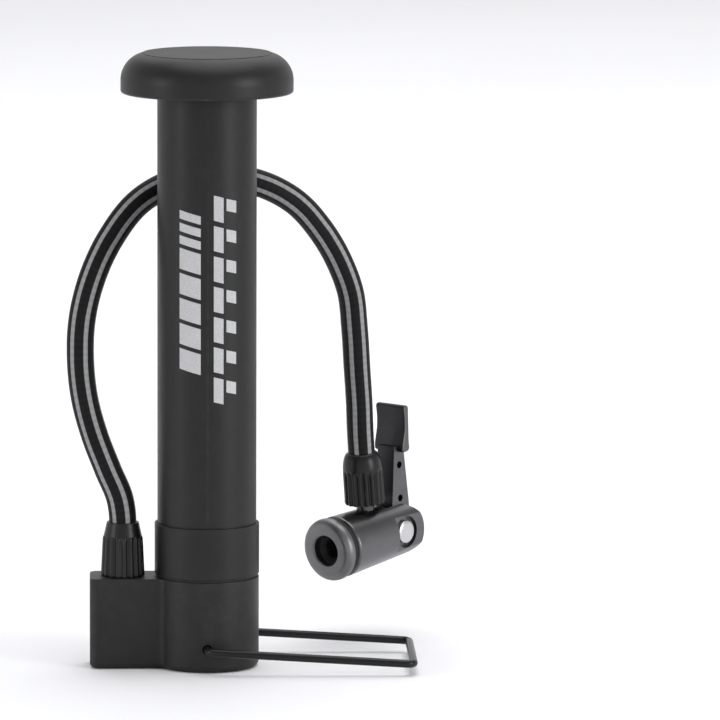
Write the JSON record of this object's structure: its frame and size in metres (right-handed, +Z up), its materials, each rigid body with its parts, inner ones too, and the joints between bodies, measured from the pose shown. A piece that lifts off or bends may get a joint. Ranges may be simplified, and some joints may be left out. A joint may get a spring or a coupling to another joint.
{
  "type": "foot air pump",
  "caption": "Short upright hand pump held down by a fold-out wire foot bracket, with a mushroom press cap, ribbed hose nuts, a striped hose and a flip-lever valve chuck.",
  "frame": {"origin": "centre of the round tower's flat underside, on the floor", "axes": "+Z up the barrel, +X towards the foot bracket's crossbar, hose boss on the -X side"},
  "size_m": [0.1402, 0.1177, 0.2366],
  "materials": {
    "black_plastic": "moulded black plastic, satin",
    "barrel_paint": "fine matt black coating on aluminium",
    "black_nut": "ribbed black plastic, semi-gloss",
    "cap_plastic": "black plastic with a satin sheen",
    "cover_plastic": "grey satin disc",
    "chuck_metal": "black anodised, glossy",
    "lever_metal": "black anodised, satin",
    "wire": "black-plated spring wire",
    "hose_rubber": "black hose with pale lengthwise stripes",
    "seal_rubber": "black seal rubber",
    "bright_steel": "polished pin heads",
    "steel": "turned steel",
    "dark_steel": "dark polished neck",
    "brass": "machined brass",
    "white_plastic": "natural nylon"
  },
  "bodies": {
    "frame": {"base_block": "black_plastic", "base_gasket": "seal_rubber", "base_oring": "seal_rubber", "barrel": "barrel_paint", "collar": "black_plastic", "rod_guide": "black_plastic", "guide_wiper": "seal_rubber", "bumper": "seal_rubber", "valve_seat": "white_plastic", "valve_spring": "steel", "duct_plug": "black_nut", "base_barb": "brass", "base_ferrule_nut": "black_nut"},
    "plunger": {"handle": "cap_plastic", "handle_cover": "cover_plastic", "handle_screw": "steel", "piston_rod": "steel", "piston": "white_plastic", "piston_seal": "seal_rubber", "piston_washer": "steel", "piston_nut": "steel"},
    "poppet": {"valve_poppet": "white_plastic"},
    "bracket": {"foot_bracket": "wire"},
    "hose_line": {"hose": "hose_rubber", "chuck_ferrule_nut": "black_nut", "chuck_neck": "dark_steel", "chuck_body": "chuck_metal", "chuck_nose_nut": "chuck_metal", "chuck_grommet": "seal_rubber", "chuck_pin": "bright_steel"},
    "lever": {"chuck_lever": "lever_metal"},
    "pusher": {"chuck_pusher": "white_plastic"}
  },
  "joints": [
    {"name": "handle_slide", "type": "slide", "parent": "frame", "child": "plunger", "axis": [0, 0, 1], "range_m": [0, 0.14]},
    {"name": "bracket_fold", "type": "hinge", "parent": "frame", "child": "bracket", "pos_m": [0, 0, 0.0092], "axis": [0, -1, 0], "range_deg": [0, 77]},
    {"name": "hose_swing", "type": "hinge", "parent": "frame", "child": "hose_line", "pos_m": [-0.0323, 0, 0.0558], "axis": [0, 0, 1], "range_deg": [0, 90]},
    {"name": "lever_flip", "type": "hinge", "parent": "hose_line", "child": "lever", "pos_m": [0.07264, 0.07067, 0.0409], "axis": [-0.7314, 0.682, 0], "range_deg": [0, 90]},
    {"name": "pusher_slide", "type": "slide", "parent": "hose_line", "child": "pusher", "axis": [0.6781, 0.7272, 0.1063], "range_m": [0, 0.0015]},
    {"name": "valve_lift", "type": "slide", "parent": "frame", "child": "poppet", "axis": [0, 0, -1], "range_m": [0, 0.0015], "stiffness_N_per_m": 200, "springref_m": -0.002, "deforming": ["valve_spring"]}
  ],
  "couplings": [
    {"joint": "lever_flip", "follows": "pusher_slide", "rad_per_m": 1047}
  ]
}
